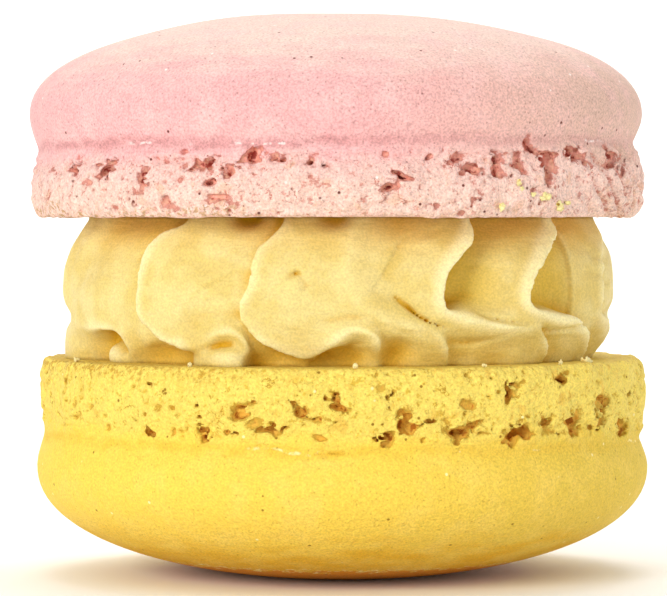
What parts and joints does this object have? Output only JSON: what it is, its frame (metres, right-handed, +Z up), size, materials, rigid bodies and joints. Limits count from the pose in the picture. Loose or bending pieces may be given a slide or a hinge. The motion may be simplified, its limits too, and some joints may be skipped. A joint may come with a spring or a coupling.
{
  "type": "french macaron",
  "caption": "French macaron: pink domed almond shell over fluted piped cream on a yellow shell, with crumbly feet and pitted caves.",
  "frame": {"origin": "middle of the flat spot under the yellow dome that the macaron rests on", "axes": "+Z up through the middle of the stack; -Y is the front, as the picture shows it"},
  "size_m": [0.0465, 0.0461, 0.0417],
  "materials": {
    "yellow_shell": "dry baked almond meringue, matte, fine grain",
    "cream": "soft whipped butter cream, satin",
    "pink_shell": "dry baked almond meringue, matte, fine grain"
  },
  "bodies": {
    "root": {"bottom_shell": "yellow_shell", "filling": "cream", "top_shell": "pink_shell"}
  },
  "joints": []
}
